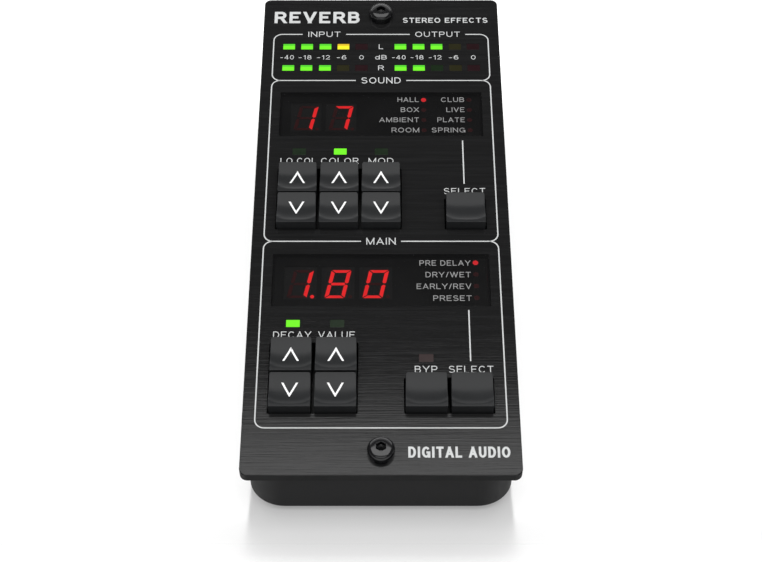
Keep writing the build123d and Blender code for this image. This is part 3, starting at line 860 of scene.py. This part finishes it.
def key_cap(name):
    """A key cap: a scooped top with rounded edges, straight walls and a recess for its stem."""
    low, high = plate_box(f"{name}_key")
    low += Vector((0, KEY_TRIM[0], 0))
    high -= Vector((0, KEY_TRIM[1], KEY_TRIM[2]))
    ceiling = plate_box(f"{name}_stem")[1].z
    height = key_surface(low, high)
    mesh = bmesh.new()
    front, right, rear, left = key_sides(low, high, KEY_ROUND, KEY_LEAN)
    rear, left = rear[::-1], left[::-1]
    last, far = len(front) - 1, len(left) - 1
    grid = []
    for j in range(far + 1):
        t = (left[j][1] - left[0][1]) / (left[far][1] - left[0][1])
        row = []
        for i in range(last + 1):
            u = (front[i][0] - front[0][0]) / (front[last][0] - front[0][0])
            x, v = [
                (1 - t) * front[i][k] + t * rear[i][k] + (1 - u) * left[j][k] + u * right[j][k]
                - (1 - u) * (1 - t) * front[0][k] - u * (1 - t) * front[-1][k]
                - (1 - u) * t * rear[0][k] - u * t * rear[-1][k]
                for k in (0, 1)
            ]
            row.append(mesh.verts.new((x, v, height(x, v))))
        grid.append(row)
    for first, second in zip(grid, grid[1:]):
        for i in range(last):
            mesh.faces.new((first[i], first[i + 1], second[i + 1], second[i]))
    rings = [[grid[0][i] for i in range(last)] + [grid[j][last] for j in range(far)]
             + [grid[far][i] for i in range(last, 0, -1)] + [grid[j][0] for j in range(far, 0, -1)]]
    for angle in (60, 30, 0):
        inset = KEY_ROUND * (1 - math.cos(math.radians(angle)))
        drop = KEY_ROUND * (1 - math.sin(math.radians(angle)))
        ring_points = loop(key_sides(low, high, inset, KEY_LEAN))
        rings.append([mesh.verts.new((x, v, height(x, v) - drop)) for x, v in ring_points])
    rings.append([mesh.verts.new((x, v, low.z)) for x, v in loop(key_sides(low, high, 0.0, 0.0))])
    recess = loop(key_sides(low, high, KEY_WALL, 0.0))
    for level in (low.z, ceiling):
        rings.append([mesh.verts.new((x, v, level)) for x, v in recess])
    skin(mesh, rings, capped=False)
    mesh.faces.new(rings[-1])
    cap = finish_piece(f"{name}_cap", mesh, KEY_PLASTIC, "key_plastic", body=f"{name}_key",
                       smooth_angle=40)
    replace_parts(cap, f"{name}_key")
    return low, high, height


def chevron(name, low, high, height, up):
    """The printed arrow on a key, which follows the scoop."""
    mesh = bmesh.new()
    sign = 1 if up else -1
    middle = Vector(((low.x + high.x) / 2, (low.y + high.y) / 2 + CHEVRON["shift"]))
    half, tall = CHEVRON["width"] / 2, CHEVRON["height"] / 2
    outer = (Vector((half, -tall)), Vector((CHEVRON["apex"] / 2, tall)))
    inner = (Vector((half - CHEVRON["stroke"], -tall)), Vector((0, tall - CHEVRON["depth"])))
    steps = CHEVRON["steps"]

    def place(x, v, lift):
        x, v = middle.x + x, middle.y + sign * v
        return mesh.verts.new((x, v, height(x, v) + lift))

    for side in (-1, 1):
        rows = []
        for step in range(steps + 1):
            far = outer[0].lerp(outer[1], step / steps)
            near = inner[0].lerp(inner[1], step / steps)
            rows.append([place(side * point.x, point.y, lift) for point, lift in
                         ((far, -INK), (near, -INK), (near, INK), (far, INK))])
        skin(mesh, rows)
    points = [(-outer[1].x, outer[1].y), (outer[1].x, outer[1].y), (inner[1].x, inner[1].y)]
    skin(mesh, [[place(x, v, lift) for x, v in points] for lift in (-INK, INK)])
    bmesh.ops.remove_doubles(mesh, verts=mesh.verts, dist=WELD)
    finish_piece(f"{name}_arrow", mesh, KEY_INK, "ink_white", body=f"{name}_key")


def keys():
    """Every key cap, with an arrow where its name says up or down."""
    for joint in frame["joints"]:
        name = joint["child"].removesuffix("_key")
        low, high, height = key_cap(name)
        if name.endswith(("_up", "_down")):
            chevron(name, low, high, height, up=name.endswith("_up"))


# ------------------------ screws

SCREW_SHANK = 1.48
SCREW_WALL = 0.3  # straight wall under the domed head
SCREW_CROWN = 1.3  # radius of the crown at the socket's mouth
SCREW_POWER = 3.6  # how square the dome is: 2 is an ellipse
SCREW_STEPS = 16
SOCKET_FLATS = 1.0  # half the distance across the socket's flats
SOCKET_DEPTH = 1.2
SOCKET_MOUTH = (0.05, 0.03, 0.1)  # broken edge: how much wider it is, where it starts and ends
SOCKET_POINT = (0.15, 0.7)  # radius and height of the drilled point under the socket


def dome_height(share):
    """Height of the screw's dome, as a share of its full height, at a share of its radius."""
    return (1 - share**SCREW_POWER) ** (1 / SCREW_POWER)


def plate_screws():
    """Black screws: a short straight rim, a domed top and a hexagonal socket."""
    mesh = bmesh.new()
    for low, high in solids("panel_screws"):
        middle = centre((low, high))
        head = (high.x - low.x) / 2
        dome = []
        for step in range(SCREW_STEPS + 1):
            radius = head + (SCREW_CROWN - head) * (step / SCREW_STEPS) ** 2
            dome.append((radius, SCREW_WALL + (high.z - SCREW_WALL) * dome_height(radius / head)))
        profile = [(SCREW_SHANK, low.z), (SCREW_SHANK, FACE), (head, FACE), *dome,
                   (SOCKET_FLATS + SOCKET_MOUTH[0], high.z - SOCKET_MOUTH[1]),
                   (SOCKET_FLATS, high.z - SOCKET_MOUTH[2]), (SOCKET_FLATS, high.z - SOCKET_DEPTH),
                   (SOCKET_POINT[0], high.z - SOCKET_DEPTH - SOCKET_POINT[1])]
        count = len(profile)
        turned(mesh, profile, middle, flats=(count - 4, count - 3, count - 2))
    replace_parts(finish_piece("plate_screws", mesh, SCREW_BLACK, "black_screw"), "panel_screws")


# ------------------------ finishes of the CAD nodes

FINISHES = (
    # the plate's edges take the darker copy of its black, which is painted shade
    (PLATE_EDGE_SHADED, ("front_plate",)),
    (BASE_PLASTIC, ("base_shell",)),
    (RUBBER, ("rubber_feet",)),
    (BRASS, ("threaded_inserts",)),
    (BOARD, ("control_board", "socket_board")),
    (STEEL, ("board_spacers", "board_screws", "socket_board_screws", "usb_shell")),
    (BLACK_TRIM, ("usb_tongue", "sound_mask", "main_mask", "switch_bodies", "microcontroller",
                  "display_driver", *[name for name in nodes if name.endswith("_stem")])),
    (CHIP_LAMP, ("meter_lamps", "status_lamps")),
    (WHITE_TRIM, ("flex_connectors", "flex_cable")),
    (DIGIT_FACE, [name for name in nodes if "_digit_" in name]),
)


def finish_nodes():
    """Gives each CAD node that stays its material."""
    for material, names in FINISHES:
        for name in names:
            nodes[name].data.materials.clear()
            nodes[name].data.materials.append(material)


# ------------------------ floor, light and camera


FLOOR_REACH = 6.0
FLOOR_WHITE = ((0.58, 0.58, 0.58), (0.61, 0.61, 0.61))
FLOOR_ROUGH = (0.42, 0.1)  # in front of the object and from its front on
FLOOR_FADE = 0.014  # over how many metres the roughness changes
FLOOR_IOR = 2.6
FLOOR_GLOW = 0.28
VIEW_ANGLE = 54.37  # between the line of sight and the plate, in degrees
VIEW_LENS = 79.34  # in millimetres, for a sensor 36 mm wide
VIEW_DISTANCE = 342.0  # along the line of sight, from the plate's front edge
VIEW_HEIGHT = 39.57  # of the picture's centre over the plate's front edge, across the line of sight


def floor():
    """A wide white floor under the feet, glossy by the object and duller in front of it."""
    mesh = bmesh.new()
    mesh.faces.new([mesh.verts.new((x * FLOOR_REACH, y * FLOOR_REACH, cad_box[0].z))
                    for x, y in ((-1, -1), (1, -1), (1, 1), (-1, 1))])
    material, tree, shader = node_material("floor_white")
    cloud = noise(tree, 3, detail=2.0)
    tree.links.new(two_colours(tree, cloud, *FLOOR_WHITE), shader.inputs["Base Color"])
    place = tree.nodes.new("ShaderNodeTexCoord")
    axes = tree.nodes.new("ShaderNodeSeparateXYZ")
    tree.links.new(place.outputs["Object"], axes.inputs["Vector"])
    edge = cad_box[0].y
    rough = spread(tree, axes.outputs["Y"], *FLOOR_ROUGH, edge - FLOOR_FADE, edge)
    tree.links.new(rough, shader.inputs["Roughness"])
    shader.inputs["IOR"].default_value = FLOOR_IOR
    shader.inputs["Specular IOR Level"].default_value = 1.0
    shader.inputs["Emission Color"].default_value = (1, 1, 1, 1)
    shader.inputs["Emission Strength"].default_value = FLOOR_GLOW
    ground = add_mesh("floor", mesh, material)


def soft_light(name, place, aim, width, height, power):
    """A rectangular soft light that faces a point."""
    data = bpy.data.lights.new(name, "AREA")
    data.shape = "RECTANGLE"
    data.size = width
    data.size_y = height
    data.energy = power
    lamp = add_object(name, data)
    lamp.location = place
    lamp.rotation_euler = (Vector(aim) - Vector(place)).to_track_quat("-Z", "Y").to_euler()


def aimed_light(name, elevation, reach, spread_angle, width, radiance):
    """A light behind the object, in metres and degrees, that faces it and spans that angle up and
    down."""
    angle = math.radians(elevation)
    tall = 2 * reach * math.tan(math.radians(spread_angle) / 2)
    place = (0, reach * math.cos(angle), reach * math.sin(angle))
    soft_light(name, place, (0, 0, 0), width, tall, radiance * math.pi * width * tall)


def lights():
    """A large overhead light, a screen and a brighter strip behind the object, a soft front light
    and a dim room."""
    soft_light("overhead", (0, -0.22, 1.3), (0, -0.22, 0), width=2.2, height=1.21, power=23.4)
    aimed_light("rear_screen", elevation=44.5, reach=2.2, spread_angle=17, width=4.0, radiance=1.0)
    aimed_light("rear_strip", elevation=29, reach=2.2, spread_angle=13, width=4.0, radiance=2.4)
    soft_light("front_fill", (0, -1.6, 0.9), (0, 0, 0), width=2.4, height=0.8, power=8)
    world = bpy.data.worlds.new("room")
    world.use_nodes = True
    background = world.node_tree.nodes["Background"]
    background.inputs["Color"].default_value = (1, 1, 1, 1)
    background.inputs["Strength"].default_value = 0.12
    bpy.context.scene.world = world


def camera():
    """A long lens, looking down on the plate from the front along its centre line."""
    elevation = math.radians(VIEW_ANGLE) - SLOPE
    ahead = Vector((0, math.cos(elevation), -math.sin(elevation)))
    down = Vector((0, -math.sin(elevation), -math.cos(elevation)))
    edge = PLATE.to_translation()
    data = bpy.data.cameras.new("camera")
    data.lens = VIEW_LENS
    data.sensor_width = 36.0
    data.clip_start = 0.01
    viewer = add_object("camera", data)
    viewer.location = edge - ahead * VIEW_DISTANCE * MM - down * VIEW_HEIGHT * MM
    viewer.rotation_euler = ahead.to_track_quat("-Z", "Y").to_euler()
    bpy.context.scene.camera = viewer
    bpy.context.scene.view_settings.view_transform = "Standard"


# ------------------------ the whole object

finish_nodes()
brushed_face()
frame_lines()
plate_legends()
lamps()
display("sound", "17")
display("main", "180", point_after=0)
mode_dots()
window_lens("sound")
window_lens("main")
window_legends()
keys()
plate_screws()
floor()
lights()
camera()
